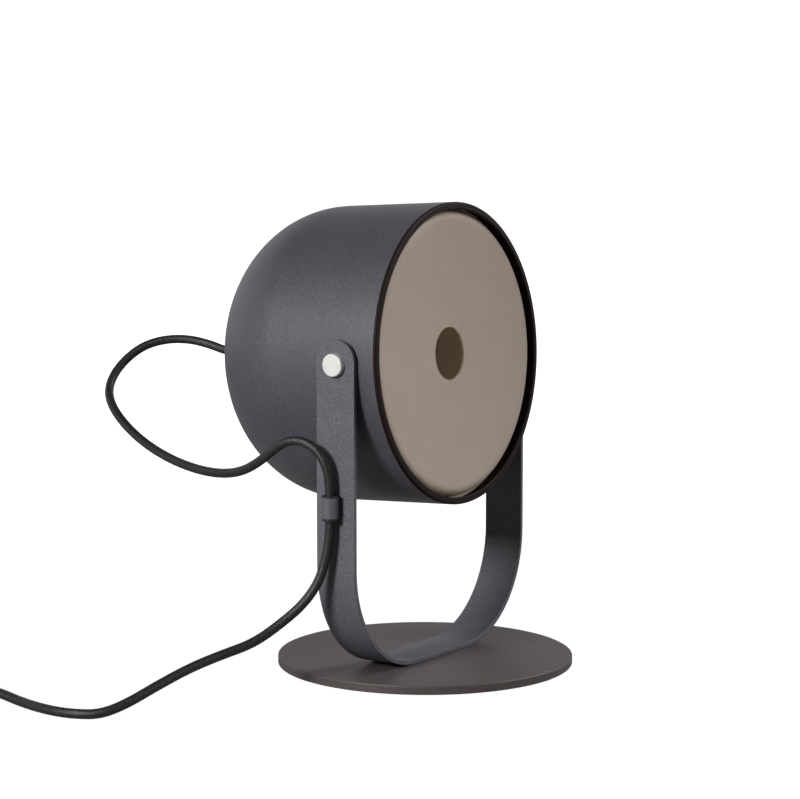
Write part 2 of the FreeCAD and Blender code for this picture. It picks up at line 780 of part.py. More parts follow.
def build_pivots():
    """The two screws that carry the head, with their spacers and threaded inserts."""
    spacers, inserts = [], []
    shank, bevel = "pivot_shank / 2", "pivot_head_bevel"
    seat = "(arm_outer + face_gap)"
    face = f"({seat} + pivot_head_height)"
    tip = f"({seat} - pivot_shank_length)"
    rim = "pivot_head_diameter / 2"
    inside = "shade_radius - shade_wall"
    flange = (f"(sqrt(({inside}) ^ 2 - (insert_flange / 2) ^ 2) - face_gap)")
    back = f"({flange} - insert_flange_height)"
    for side, sign in (("left", "-"), ("right", "")):
        screw = new_body(f"pivot_screw_{side}")
        profile = outline(screw, "XY_Plane", f"pivot_profile_{side}", (f"{sign}{tip}", "0"), [
            (f"{sign}{tip}", f"{shank} - {bevel}"),
            (f"{sign}({tip} + {bevel})", shank),
            (f"{sign}{seat}", shank),
            (f"{sign}{seat}", rim),
            (f"{sign}({face} - {bevel})", rim),
            (f"{sign}{face}", f"{rim} - {bevel}"),
            (f"{sign}{face}", "0"),
        ])
        revolve(screw, profile, "H_Axis")
        on_head(screw)
        spacers.append(ring_on_pivot(f"spacer_{side}", sign, "(shade_radius + face_gap)",
                                     "(yoke_inner_width / 2 - face_gap)",
                                     "pivot_shank / 2 + insert_fit", "spacer_diameter / 2"))
        insert = new_body(f"insert_{side}")
        bore = "pivot_shank / 2 + pivot_fit"
        profile = outline(insert, "XY_Plane", f"insert_profile_{side}", (f"{sign}{tip}", bore), [
            (f"{sign}{tip}", "insert_diameter / 2"),
            (f"{sign}{back}", "insert_diameter / 2"),
            (f"{sign}{back}", "insert_flange / 2"),
            (f"{sign}{flange}", "insert_flange / 2"),
            (f"{sign}{flange}", "insert_diameter / 2"),
            (f"{sign}(shade_radius - face_gap)", "insert_diameter / 2"),
            (f"{sign}(shade_radius - face_gap)", bore),
        ])
        revolve(insert, profile, "H_Axis")
        inserts.append(on_head(insert))
    group("pivot_spacers", spacers)
    group("pivot_inserts", inserts)


def ring_on_pivot(label, sign, near, far, bore, rim):
    ring = new_body(label)
    profile = outline(ring, "XY_Plane", label + "_profile", (f"{sign}{near}", bore), [
        (f"{sign}{near}", rim),
        (f"{sign}{far}", rim),
        (f"{sign}{far}", bore),
    ])
    revolve(ring, profile, "H_Axis")
    return on_head(ring)


def build_diffuser():
    """A dished plate whose edge rolls back into a skirt."""
    thick = "diffuser_thickness"
    back_radius = f"(dish_radius + {thick})"
    rim, skirt_in = "diffuser_radius", f"diffuser_radius - {thick}"
    corner = f"diffuser_edge - {thick}"

    def dish(radius):
        """Depth of a dish of this radius at the edge of the hole."""
        return station(f"dish_centre + sqrt(({radius}) ^ 2 - hole_radius ^ 2)")

    front_meet = ("dish_radius * edge_lean", station("dish_centre + dish_radius * edge_rise"))
    back_meet = (f"{back_radius} * edge_lean",
                 station(f"dish_centre + {back_radius} * edge_rise"))
    turned_about_y("diffuser", ("hole_radius", dish("dish_radius")), [
        (*front_meet, "dish_radius", "right"),
        (rim, station("edge_centre"), "diffuser_edge", "left"),
        (rim, station("diffuser_skirt")),
        (skirt_in, station("diffuser_skirt")),
        (skirt_in, station("edge_centre")),
        (*back_meet, corner, "right"),
        ("hole_radius", dish(back_radius), back_radius, "left"),
    ])


def build_diffuser_mount():
    """The ring behind the diffuser, and the three spring clips that hold its skirt."""
    seat, plate, skirt = "diffuser_skirt", "ring_thickness", "ring_skirt"
    turned_about_y("diffuser_ring", ("ring_bore / 2", station(seat)), [
        ("ring_radius", station(seat)),
        ("ring_radius", station(f"{seat} + {skirt}")),
        (f"ring_radius - {plate}", station(f"{seat} + {skirt}")),
        (f"ring_radius - {plate}", station(f"{seat} + {plate}")),
        ("ring_bore / 2", station(f"{seat} + {plate}")),
    ])
    clips = new_body("diffuser_clips")
    reach, leaf = "(diffuser_radius - diffuser_thickness - clip_tongue_gap)", "clip_tongue_thickness"
    foot = "(ring_bore / 2 + 0.5)"
    profile = outline(clips, "XY_Plane", "clip_profile", (foot, station(seat)), [
        (reach, station(seat)),
        (reach, station(f"{seat} - clip_tongue_height")),
        (f"{reach} - {leaf}", station(f"{seat} - clip_tongue_height")),
        (f"{reach} - {leaf}", station(f"{seat} - {leaf}")),
        (foot, station(f"{seat} - {leaf}")),
    ])
    leaf_pad = pad(clips, profile, "clip_tongue_width", symmetric=True)
    around = clips.newObject("PartDesign::PolarPattern", "clips_around")
    around.Originals = [leaf_pad]
    axis = [item for item in clips.Origin.OriginFeatures if item.Role == "Y_Axis"][0]
    around.Axis = (axis, [""])
    around.Angle = 360.0
    around.Occurrences = 3
    clips.Tip = around
    on_head(clips)


def build_lamp_holder():
    radius, wall = "holder_diameter / 2", "holder_wall"
    plate = f"(holder_back - holder_cap_plate)"
    hole = "nipple_diameter / 2 + fastener_clearance"
    turned_about_y("holder_cap", (hole, station("holder_back")), [
        (f"{radius} - 2", station("holder_back")),
        (radius, station("holder_back - 2"), "2", "right"),
        (radius, station("holder_cap_front")),
        (f"{radius} - {wall}", station("holder_cap_front")),
        (f"{radius} - {wall}", station(plate)),
        (hole, station(plate)),
    ])
    bore, flange = "holder_bore / 2", "holder_flange_diameter / 2"
    turned_about_y("holder_skirt", (bore, station("holder_front")), [
        (flange, station("holder_front")),
        (flange, station("holder_front + holder_flange_length")),
        (radius, station("holder_front + holder_flange_length")),
        (radius, station("holder_cap_front")),
        (bore, station("holder_cap_front")),
    ])
    turned_about_y("holder_insulator", ("0", station("insulator_front")), [
        (f"{bore} - shell_gap", station("insulator_front")),
        (f"{bore} - shell_gap", station("holder_cap_front")),
        ("0", station("holder_cap_front")),
    ])
    shell = f"({bore} - shell_gap)"
    turned_about_y("holder_shell",
                   (f"{shell} - shell_wall", station("insulator_front - shell_length")), [
        (shell, station("insulator_front - shell_length")),
        (shell, station("insulator_front")),
        (f"{shell} - shell_wall", station("insulator_front")),
    ])
    turned_about_y("holder_contact", ("0", station("insulator_front - contact_height")), [
        ("contact_diameter / 2", station("insulator_front - contact_height")),
        ("contact_diameter / 2", station("insulator_front")),
        ("0", station("insulator_front")),
    ])


def build_nipple():
    bore, thread = "nipple_bore / 2", "nipple_diameter / 2"
    turned_about_y("threaded_nipple", (bore, station("nipple_front")), [
        (thread, station("nipple_front")),
        (thread, station("shade_depth + nipple_reach")),
        (bore, station("shade_depth + nipple_reach")),
    ])
    nut = new_body("nipple_nut")
    seat = station("holder_back - holder_cap_plate")
    profile = hexagon_outline(nut, "XZ_Plane", "nipple_nut_profile", "nipple_nut_flats",
                              f"-({seat})")
    pad(nut, profile, "nipple_nut_height")
    pocket(nut, circles(nut, "XZ_Plane", "nipple_nut_bore",
                        [("0", "0", "nipple_diameter + 2 * fastener_clearance")]),
           symmetric=True)
    on_head(nut)


def build_cord_grip():
    """The tapered grip that the cord leaves the shade by."""
    seat = "(shade_depth - grip_seat)"
    thread, bore = "nipple_diameter / 2 + fastener_clearance", "cord_bore / 2"
    end = f"{seat} + grip_length"
    turned_about_y("cord_grip", (thread, station(seat)), [
        ("grip_flange_diameter / 2", station(seat)),
        ("grip_flange_diameter / 2", station(f"{seat} + grip_flange_length")),
        ("grip_shoulder_diameter / 2", station(f"{seat} + grip_shoulder_length")),
        ("grip_tip_diameter / 2", station(end)),
        (bore, station(end)),
        (bore, station("shade_depth + nipple_reach + 0.3")),
        (thread, station("shade_depth + nipple_reach + 0.3")),
    ])


def build_bulb():
    big, neck, glass = "bulb_radius", "neck_radius", "bulb_glass_wall"

    def envelope(radius, neck_at):
        """The globe's shoulder and the start of its neck, for one side of the glass."""
        shoulder = (f"({radius}) * sin(bulb_cone_angle)",
                    station(f"bulb_centre + ({radius}) * cos(bulb_cone_angle)"))
        run = f"(({radius}) * sin(bulb_cone_angle) - ({neck_at})) * tan(bulb_cone_angle)"
        start = (neck_at, station(f"bulb_centre + ({radius}) * cos(bulb_cone_angle) + {run}"))
        return shoulder, start

    outer, outer_neck = envelope(big, neck)
    inner, inner_neck = envelope(f"{big} - {glass}", f"{neck} - {glass}")
    end = f"{outer_neck[1]} + bulb_neck_length"
    turned_about_y("bulb_glass", ("0", station("bulb_front")), [
        (*outer, big, "left"),
        outer_neck,
        (neck, end),
        (f"{neck} - {glass}", end),
        inner_neck,
        inner,
        ("0", station(f"bulb_front + {glass}"), f"{big} - {glass}", "right"),
    ])
    cap, skin = "bulb_cap_diameter / 2", "bulb_cap_wall"
    back = station("bulb_cap_back")
    turned_about_y("bulb_cap", (f"{cap} - {skin}", end_of_neck()), [
        (cap, end_of_neck()),
        (cap, station("bulb_cap_back - 3")),
        ("bulb_contact_diameter / 2", back),
        ("0", back),
        ("0", station(f"bulb_cap_back - {skin}")),
        (f"bulb_contact_diameter / 2", station(f"bulb_cap_back - {skin}")),
        (f"{cap} - {skin}", station(f"bulb_cap_back - 3 - {skin}")),
    ])
    turned_about_y("bulb_contact", ("0", back), [
        ("bulb_contact_diameter / 2", back),
        ("contact_diameter / 2 - 1", station("insulator_front - contact_height")),
        ("0", station("insulator_front - contact_height")),
    ])


def end_of_neck():
    """Where the bulb's metal cap begins, just past the straight part of the glass neck."""
    run = "(bulb_radius * sin(bulb_cone_angle) - neck_radius) * tan(bulb_cone_angle)"
    return station(f"bulb_centre + bulb_radius * cos(bulb_cone_angle) + {run}"
                   " + bulb_neck_length - 4")


def build_switch():
    """The in-line rocker switch on the lead, in two shells, lying on the table."""
    cavity = ("switch_width - 2 * switch_wall", "switch_cavity")
    base = new_body("switch_base")
    pad(base, switch_plan(base, "switch_base_plan"), "switch_split")
    dress(base, "Fillet", "switch_edge_round / 2", lambda edge: on_rim(edge, 0.0))
    pocket(base, rectangle(base, "XY_Plane", "base_cavity", ("0", "0"), cavity, "switch_split"),
           "switch_split - switch_wall")
    bores = [(x, y, "switch_screw_diameter + 0.4") for x, y in switch_screw_spots()]
    sinks = [(x, y, "switch_screw_head + 0.4") for x, y in switch_screw_spots()]
    pocket(base, circles(base, "XY_Plane", "base_bores", bores), reverse=True)
    pocket(base, circles(base, "XY_Plane", "base_sinks", sinks),
           "switch_screw_sink + switch_screw_head_height", reverse=True)
    boot_seats(base, "base")
    at(base, "switch_centre_across", "switch_centre_along")

    cover = new_body("switch_cover")
    pad(cover, switch_plan(cover, "switch_cover_plan", "switch_split"),
        "switch_height - switch_split")
    dress(cover, "Fillet", "switch_edge_round",
          lambda edge: on_rim(edge, number("switch_height")))
    pocket(cover, rectangle(cover, "XY_Plane", "cover_cavity", ("0", "0"), cavity,
                            "switch_split"),
           "switch_height - switch_wall - switch_split", reverse=True)
    between, window = "rocker_width + 2 * rocker_gap", "rocker_length + 2 * rocker_end_gap"
    pocket(cover, rectangle(cover, "XY_Plane", "rocker_window", ("0", "0"),
                            (between, window)), reverse=True)
    drop = "switch_height - switch_wall - rocker_pivot_height + 2"
    rib = rectangle(cover, "YZ_Plane", "pivot_ribs",
                    ("0", f"switch_height - switch_wall - ({drop}) / 2"), ("rib_width", drop))
    pad(cover, rib, f"{between} + 2 * rib_thickness", symmetric=True)
    gap = rectangle(cover, "YZ_Plane", "between_ribs", ("0", "switch_height / 2"),
                    (window, "switch_height * 2"))
    pocket(cover, gap, between, symmetric=True)
    pins = circles(cover, "YZ_Plane", "rib_bores",
                   [("0", "rocker_pivot_height", "rocker_pin_diameter + 2 * pivot_fit")])
    pocket(cover, pins, f"{between} + 2 * rib_thickness + 0.2", symmetric=True)
    cores = [(x, y, "switch_screw_diameter + 2 * fastener_clearance")
             for x, y in switch_screw_spots()]
    pocket(cover, circles(cover, "XY_Plane", "cover_cores", cores),
           "switch_screw_sink + switch_screw_head_height + switch_screw_length + 0.3",
           reverse=True)
    boot_seats(cover, "cover")
    at(cover, "switch_centre_across", "switch_centre_along")
    build_rocker()
    build_switch_inside()
    build_boots()


def boot_seats(shell, name):
    """A round seat for a boot in each end of a shell of the switch."""
    for end, sign, inward in (("near", "-", False), ("far", "", True)):
        seat = circles(shell, "XZ_Plane", f"{name}_seat_{end}",
                       [("0", "cord_entry_height", "boot_root_diameter + 2 * boot_fit")],
                       f"-({sign}switch_length / 2)")
        pocket(shell, seat, "boot_seat", reverse=inward)


def ribbed_cone(tail, root, length, height):
    """The stepped outline of a moulded neck: a slim cone with four square ribs round it."""
    def cone(place):
        return f"({tail} + ({root} - {tail}) * ({place}) / {length})"

    steps = [("0", tail)]
    for rib in range(4):
        near = f"({rib} * neck_rib_pitch + neck_rib_width)"
        far = f"({near} + neck_rib_width)"
        steps += [(near, cone(near)), (near, f"{cone(near)} + {height}"),
                  (far, f"{cone(far)} + {height}"), (far, cone(far))]
    return steps


def build_boots():
    """Two ribbed rubber boots, with a flared mouth so that the cord bends gently in them."""
    boots = []
    bore, mouth, root = "cord_bore / 2", "boot_mouth_diameter / 2", "boot_root_diameter / 2"
    for end, sign, turn in (("near", "-", 0.0), ("far", "+", 180.0)):
        boot = new_body(f"switch_boot_{end}")
        steps = ribbed_cone("boot_tip_diameter / 2", root, "boot_length", "boot_rib_height")
        steps += [("boot_length", root), ("boot_length + boot_seat", root),
                  ("boot_length + boot_seat", bore), ("boot_flare", bore)]
        profile = outline(boot, "YZ_Plane", f"boot_profile_{end}", ("0", mouth), steps)
        revolve(boot, profile, "H_Axis")
        boot.Placement.Rotation = FreeCAD.Rotation(Vector(0, 0, 1), turn)
        boots.append(at(boot, "switch_centre_across",
                        f"switch_centre_along {sign} (switch_length / 2 + boot_length)",
                        "cord_entry_height"))
    group("switch_boots", boots)


def switch_plan(body, name, lift="0"):
    """The switch's outline from above: a long shape with round corners."""
    half, reach, bend = "switch_width / 2", "switch_length / 2", "switch_corner"
    return outline(body, "XY_Plane", name, (f"{half} - {bend}", f"-{reach}"), [
        (half, f"-{reach} + {bend}", bend, "left"),
        (half, f"{reach} - {bend}"),
        (f"{half} - {bend}", reach, bend, "left"),
        (f"-{half} + {bend}", reach),
        (f"-{half}", f"{reach} - {bend}", bend, "left"),
        (f"-{half}", f"-{reach} + {bend}"),
        (f"-{half} + {bend}", f"-{reach}", bend, "left"),
    ], lift)


def on_rim(edge, height):
    """Whether an edge lies flat at this height."""
    box = edge.BoundBox
    return abs(box.ZMin - height) < 1e-4 and abs(box.ZMax - height) < 1e-4


def switch_screw_spots():
    return [("-switch_screw_across", "-switch_screw_along"),
            ("switch_screw_across", "switch_screw_along")]


def build_rocker():
    """The rocker, drawn level about its own pin and then tilted to its off position."""
    rocker = new_body("switch_rocker")
    half = "rocker_length / 2"
    top = "(switch_height + rocker_proud - rocker_pivot_height)"
    profile = outline(rocker, "YZ_Plane", "rocker_profile", (f"-{half} + 1.4", "-1.6"), [
        ("0", "-3.2"),
        (f"{half} - 1.4", "-1.6"),
        (half, f"{top}"),
        (f"-{half}", f"{top}", "rocker_length * 1.6", "right"),
    ])
    pad(rocker, profile, "rocker_width", symmetric=True)
    pin = circles(rocker, "YZ_Plane", "rocker_pin", [("0", "0", "rocker_pin_diameter")])
    pad(rocker, pin, "rocker_pin_length", symmetric=True)
    rocker.Placement = FreeCAD.Placement(Vector(0, 0, 0), FreeCAD.Rotation(Vector(1, 0, 0), 1.0))
    at(rocker, "switch_centre_across", "switch_centre_along", "rocker_pivot_height")
    drive(rocker, Placement__Rotation__Angle="-rocker_tilt")


def build_switch_inside():
    """Two brass terminals, the sprung contact riveted to one of them, and two screws."""
    terminals, screws = [], []
    deck = "(switch_wall + terminal_height)"
    for side, sign in (("front", "-"), ("back", "")):
        along = f"switch_centre_along {sign or '+'} terminal_offset"
        block = document.addObject("Part::Box", f"terminal_block_{side}")
        drive(block, Length="terminal_width", Width="terminal_length", Height="terminal_height")
        at(block, "switch_centre_across - terminal_width / 2",
           f"{along} - terminal_length / 2", "switch_wall")
        wire = cylinder(f"wire_bore_{side}", "wire_bore", "terminal_length",
                        "switch_centre_across - terminal_width / 3.5",
                        f"{along} + terminal_length / 2", "switch_wall + terminal_height / 2")
        wire.Placement.Rotation = FreeCAD.Rotation(Vector(1, 0, 0), 90.0)
        terminal = cut(f"terminal_bored_{side}", block, wire)
        if side == "front":
            hole = cylinder("rivet_hole", "rivet_shank + 2 * rivet_fit", "rivet_depth + 0.2",
                            "switch_centre_across", along, f"{deck} - rivet_depth - 0.2")
            terminal = cut("terminal_riveted", terminal, hole)
        terminals.append(terminal)
    group("switch_terminals", terminals)
    build_contact(deck)
    for index, (x, y) in enumerate(switch_screw_spots()):
        screw = new_body(f"switch_screw_{index}")
        low = "switch_screw_sink"
        high = f"({low} + switch_screw_head_height)"
        profile = outline(screw, "XZ_Plane", f"switch_screw_profile_{index}", ("0", low), [
            ("switch_screw_head / 2", low),
            ("switch_screw_head / 2", high),
            ("switch_screw_diameter / 2", high),
            ("switch_screw_diameter / 2", f"{high} + switch_screw_length"),
            ("0", f"{high} + switch_screw_length"),
        ])
        revolve(screw, profile)
        key = hexagon_outline(screw, "XY_Plane", f"switch_screw_key_{index}",
                              "switch_screw_key")
        pocket(screw, key, f"{low} + switch_screw_head_height / 2", reverse=True)
        screws.append(at(screw, f"switch_centre_across + ({x})", f"switch_centre_along + ({y})"))
    group("switch_screws", screws)


def build_contact(deck):
    """The contact spring: flat on the front terminal, then bent up under the rocker's nose
    and out over the back one, where its rivet stands clear until the rocker is pressed."""
    strip = new_body("switch_contact")
    leaf, reach = "contact_strip", "contact_reach"
    high = f"({deck} + contact_lift)"
    profile = outline(strip, "YZ_Plane", "contact_profile", (f"-{reach}", deck), [
        ("-contact_bend_start", deck),
        ("-contact_bend_end", high),
        (reach, high),
        (reach, f"{high} + {leaf}"),
        (f"-contact_bend_end - {leaf} / 4", f"{high} + {leaf}"),
        (f"-contact_bend_start - {leaf} / 4", f"{deck} + {leaf}"),
        (f"-{reach}", f"{deck} + {leaf}"),
    ])
    pad(strip, profile, "contact_width", symmetric=True)
    holes = [("0", f"{sign}terminal_offset", "rivet_shank + 2 * rivet_fit")
             for sign in ("-", "")]
    pocket(strip, circles(strip, "XY_Plane", "contact_holes", holes), reverse=True)
    at(strip, "switch_centre_across", "switch_centre_along")
    shank, head, free = "rivet_shank / 2", "rivet_head / 2", "rivet_fit"
    fixing = new_body("fixing_rivet")
    seat = f"({deck} + {leaf} + {free})"
    revolve(fixing, outline(fixing, "XZ_Plane", "fixing_profile",
                            ("0", f"{deck} - rivet_depth"), [
        (shank, f"{deck} - rivet_depth"),
        (shank, seat),
        (head, seat),
        (head, f"{seat} + rivet_head_height"),
        ("0", f"{seat} + rivet_head_height"),
    ]))
    at(fixing, "switch_centre_across", "switch_centre_along - terminal_offset")
    moving = new_body("contact_stud")
    under, above = f"({high} - {free})", f"({high} + {leaf} + {free})"
    revolve(moving, outline(moving, "XZ_Plane", "stud_profile",
                            ("0", f"{under} - rivet_head_height"), [
        (head, f"{under} - rivet_head_height"),
        (head, under),
        (shank, under),
        (shank, above),
        (f"{shank} + rivet_shank / 4", above),
        (f"{shank} + rivet_shank / 4", f"{above} + rivet_head_height / 2"),
        ("0", f"{above} + rivet_head_height / 2"),
    ]))
    at(moving, "switch_centre_across", "switch_centre_along + terminal_offset")
    group("contact_rivets", [fixing, moving])


def build_plug():
    """A flat two-pin plug with a ribbed neck, moulded in one with it, for the cord."""
    plug = new_body("plug_body")
    half, shoulder = "plug_width / 2", "plug_shoulder_width / 2"
    slope = "neck_length + plug_slope"
    profile = outline(plug, "XY_Plane", "plug_plan", ("neck_length", f"-{shoulder}"), [
        (slope, f"-{half}"),
        ("plug_length", f"-{half}"),
        ("plug_length", half),
        (slope, half),
        ("neck_length", shoulder),
    ])
    pad(plug, profile, "plug_thickness", symmetric=True)
    bend_at = number(slope)

    def at_bends(edge):
        box = edge.BoundBox
        return box.ZLength > 1.0 and abs(box.XMin - bend_at) < 0.01

    dress(plug, "Fillet", "plug_corner_round", at_bends)
    dress(plug, "Fillet", "plug_edge_round", lambda edge: edge.BoundBox.ZLength < 0.01)
    root = "neck_root_diameter / 2"
    steps = ribbed_cone("neck_tail_diameter / 2", root, "neck_length", "neck_rib_height")
    steps += [("neck_length", root), ("neck_length + neck_sunk", root),
              ("neck_length + neck_sunk", "0")]
    revolve(plug, outline(plug, "XY_Plane", "neck_profile", ("0", "0"), steps), "H_Axis")
    at(plug, "plug_back", "plug_along", "plug_thickness / 2")
    pins, sleeves = [], []
    radius, soft, core = "pin_diameter / 2", "pin_tip_round", "pin_core / 2"
    for side, sign in (("near", "-"), ("far", "")):
        place = ("plug_back + plug_length",
                 f"plug_along {sign or '+'} pin_spacing / 2", "plug_thickness / 2")
        pin = new_body(f"plug_pin_{side}")
        revolve(pin, outline(pin, "XY_Plane", f"pin_profile_{side}", ("0", "0"), [
            ("pin_length", "0"),
            ("pin_length", f"{radius} - {soft}"),
            (f"pin_length - {soft}", radius, soft, "left"),
            ("pin_sleeve_length + pin_sleeve_fit", radius),
            ("pin_sleeve_length + pin_sleeve_fit", core),
            ("0", core),
        ]), "H_Axis")
        pins.append(at(pin, *place))
        sleeve = new_body(f"pin_sleeve_{side}")
        inner, outer = f"({core} + pin_sleeve_fit)", "pin_sleeve_diameter / 2"
        revolve(sleeve, outline(sleeve, "XY_Plane", f"sleeve_profile_{side}", ("0", inner), [
            ("pin_sleeve_length", inner),
            ("pin_sleeve_length", outer),
            ("0", outer),
        ]), "H_Axis")
        sleeves.append(at(sleeve, *place))
    group("plug_pins", pins)
    group("pin_sleeves", sleeves)


def build_coil():
    """The put-away length, as one closed ring of its outer shape."""
    coil = new_body("cord_coil")
    soft = "coil_round"
    profile = outline(coil, "XZ_Plane", "coil_profile", (f"coil_inner + {soft}", "0"), [
        (f"coil_outer - {soft}", "0"),
        ("coil_outer", soft, soft, "left"),
        ("coil_outer", f"coil_height - {soft}"),
        (f"coil_outer - {soft}", "coil_height", soft, "left"),
        (f"coil_inner + {soft}", "coil_height"),
        ("coil_inner", f"coil_height - {soft}", soft, "left"),
        ("coil_inner", soft),
        (f"coil_inner + {soft}", "0", soft, "left"),
    ])
    revolve(coil, profile)
    at(coil, "coil_centre_across", "coil_centre_along")


def tube_path(points):
    """Straight runs joined by tangent arcs, each as large as its two runs allow."""
    edges, radii, begin = [], [], points[0]
    for before, corner, after in zip(points, points[1:], points[2:]):
        back, ahead = before - corner, after - corner
        trim = 0.45 * min(back.Length, ahead.Length)
        half_turn = (math.pi - back.getAngle(ahead)) / 2
        radii.append(trim / math.tan(half_turn))
        first = corner + Vector(back).normalize() * trim
        last = corner + Vector(ahead).normalize() * trim
        bisector = (Vector(back).normalize() + Vector(ahead).normalize()).normalize()
        sag = radii[-1] / math.cos(half_turn) - radii[-1]
        edges.append(Part.LineSegment(begin, first).toShape())
        edges.append(Part.Arc(first, corner + bisector * sag, last).toShape())
        begin = last
    edges.append(Part.LineSegment(begin, points[-1]).toShape())
    return Part.Wire(edges), radii


def build_cord(label, points):
    """One stretch of cord as a round tube along its route."""
    radius = number("cord_diameter") / 2
    path, radii = tube_path(points)
    start = points[1] - points[0]
    ring = Part.Wire([Part.Circle(points[0], start, radius).toShape()])
    tube = path.makePipeShell([ring], True, False)
    expected = math.pi * radius ** 2 * path.Length
    lowest = min(point.z for point in path.discretize(400)) - radius
    print(f"{label}: length {path.Length:.1f}, tightest radius {min(radii):.1f},"
          f" lowest {lowest:.2f}, volume ratio {tube.Volume / expected:.4f}")
    item = document.addObject("Part::Feature", label)
    item.Label = label
    item.Shape = tube


def head_point(along):
    """A point on the head's axis, this far behind the tilt axis, where it stands tilted."""
    tilt = math.radians(number("head_tilt"))
    return Vector(0, along * math.cos(tilt), number("pivot_height") - along * math.sin(tilt))


def build_cords():
    grip_end = number(station("shade_depth - grip_seat + grip_length"))
    across = -number("clip_axis")
    middle = number("clip_height")
    in_collar = Vector(across, 0, middle)
    loop = [head_point(grip_end - LOOP_SEAT), head_point(grip_end + LOOP_START)]
    loop += [Vector(*point) for point in LOOP_POINTS]
    loop += [in_collar + Vector(0, 0, LOOP_DROP), in_collar]
    build_cord("cord_loop", loop)
    entry = number("cord_entry_height")
    near_end = Vector(number("switch_centre_across"),
                      number("switch_centre_along - switch_length / 2 + boot_seat"), entry)
    lead = [in_collar, in_collar - Vector(0, 0, LEAD_DROP)]
    lead += [Vector(*point) for point in LEAD_POINTS] + [near_end]
    build_cord("cord_lead", lead)
    far_end = Vector(near_end.x, number("switch_back - boot_seat"), entry)
    outer_turn = number("coil_outer - cord_diameter / 2")
    meets_coil = Vector(number("coil_centre_across") - outer_turn,
                        number("coil_centre_along"), number("cord_diameter / 2"))
    build_cord("cord_to_coil",
               [far_end] + [Vector(*point) for point in COIL_ENTRY_POINTS] + [meets_coil])
    leaves_coil = Vector(number("coil_centre_across"),
                         number("coil_centre_along") + outer_turn,
                         number("coil_height - cord_diameter / 2"))
    plug_tail = Vector(number("plug_back"), number("plug_along"), number("plug_thickness / 2"))
    build_cord("cord_to_plug",
               [leaves_coil] + [Vector(*point) for point in PLUG_LEAD_POINTS] + [plug_tail])


NODES = [
    "base_plate", "base_pad", "yoke_strap", "yoke_studs", "stud_washers", "stud_nuts",
    "cord_collar", "collar_screw", "collar_bush", "shade", "rim_trim", "pivot_screw_left",
    "pivot_screw_right", "pivot_spacers", "pivot_inserts", "diffuser", "diffuser_ring",
    "diffuser_clips", "holder_cap", "holder_skirt", "holder_insulator", "holder_shell",
    "holder_contact", "threaded_nipple", "nipple_nut", "cord_grip", "bulb_glass",
    "bulb_cap", "bulb_contact", "switch_base", "switch_cover", "switch_rocker",
    "switch_terminals", "switch_contact", "contact_rivets", "switch_screws",
    "switch_boots", "plug_body", "plug_pins", "pin_sleeves", "cord_coil", "cord_loop",
    "cord_lead", "cord_to_coil", "cord_to_plug",
]


def check(items):
    """Stop if any object failed to compute, or a piece isn't a sound shape."""
    settle()
    for item in items:
        if item.Shape.isNull() or not item.Shape.isValid() or not item.Shape.Solids:
            raise RuntimeError(f"{item.Label} has no sound shape")


def main():
    build_foot()
    build_yoke()
    build_studs()
    build_collar()
    build_collar_bush()
    build_shade()
    build_rim_trim()
    build_pivots()
    build_diffuser()
    build_diffuser_mount()
    build_lamp_holder()
    build_nipple()
    build_cord_grip()
    build_bulb()
    build_switch()
    build_plug()
    build_coil()
    build_cords()
    settle()
    items = [document.getObjectsByLabel(name)[0] for name in NODES]
    check(items)
    os.makedirs("parts", exist_ok=True)
    for item in items:
        item.Shape.exportStep(f"parts/{item.Label}.step")
        print(f"{item.Label}: {len(item.Shape.Solids)} solid(s), {item.Shape.Volume:.0f} mm3")


main()
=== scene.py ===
import json
import math
import bpy
from mathutils import Matrix, Vector


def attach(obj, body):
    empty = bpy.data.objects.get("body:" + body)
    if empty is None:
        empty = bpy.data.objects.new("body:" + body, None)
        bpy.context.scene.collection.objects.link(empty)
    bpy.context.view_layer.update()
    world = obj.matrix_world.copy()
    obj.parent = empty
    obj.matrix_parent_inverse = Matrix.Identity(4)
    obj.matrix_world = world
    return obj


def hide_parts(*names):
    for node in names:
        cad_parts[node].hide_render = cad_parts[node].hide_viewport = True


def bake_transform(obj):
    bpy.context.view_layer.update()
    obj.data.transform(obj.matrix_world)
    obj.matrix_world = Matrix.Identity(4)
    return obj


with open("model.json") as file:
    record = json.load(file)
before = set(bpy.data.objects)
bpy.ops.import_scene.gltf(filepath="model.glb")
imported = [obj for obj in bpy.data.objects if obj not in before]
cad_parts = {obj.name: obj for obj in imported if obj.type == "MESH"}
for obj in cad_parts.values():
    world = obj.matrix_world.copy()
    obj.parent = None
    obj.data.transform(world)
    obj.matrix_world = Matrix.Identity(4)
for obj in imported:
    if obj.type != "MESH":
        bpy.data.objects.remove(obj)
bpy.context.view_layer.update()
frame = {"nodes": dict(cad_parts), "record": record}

scene = bpy.context.scene
nodes = frame["nodes"]
scene.view_settings.view_transform = "Standard"

# ---------------------------------------------------------------- camera, fitted to the photo
camera_data = bpy.data.cameras.new("camera")
camera_data.lens = 100.17
camera_data.sensor_width = 36.0
camera_data.clip_end = 100.0
camera = bpy.data.objects.new("camera", camera_data)
scene.collection.objects.link(camera)
right = Vector((0.5564, -0.8309, 0.0)).normalized()
back = Vector((-0.82625, -0.55323, 0.10607)).normalized()
up = back.cross(right).normalized()
right = up.cross(back)
turn = Matrix((right, up, back)).transposed().to_4x4()
camera.matrix_world = Matrix.Translation((-1.24157, -0.81085, 0.33671)) @ turn
scene.camera = camera

# ---------------------------------------------------------------- the cord
CORD = 0.0062          # diameter over the braid
YARNS = 12             # yarns each way round the braid
BRAID = 0.0022         # length of one crossing along the cord
BRAID_DEPTH = 0.00022  # from the top of a yarn to the gap beside it
SPLINE_STEPS = 16      # points that are read from the spline to a control point

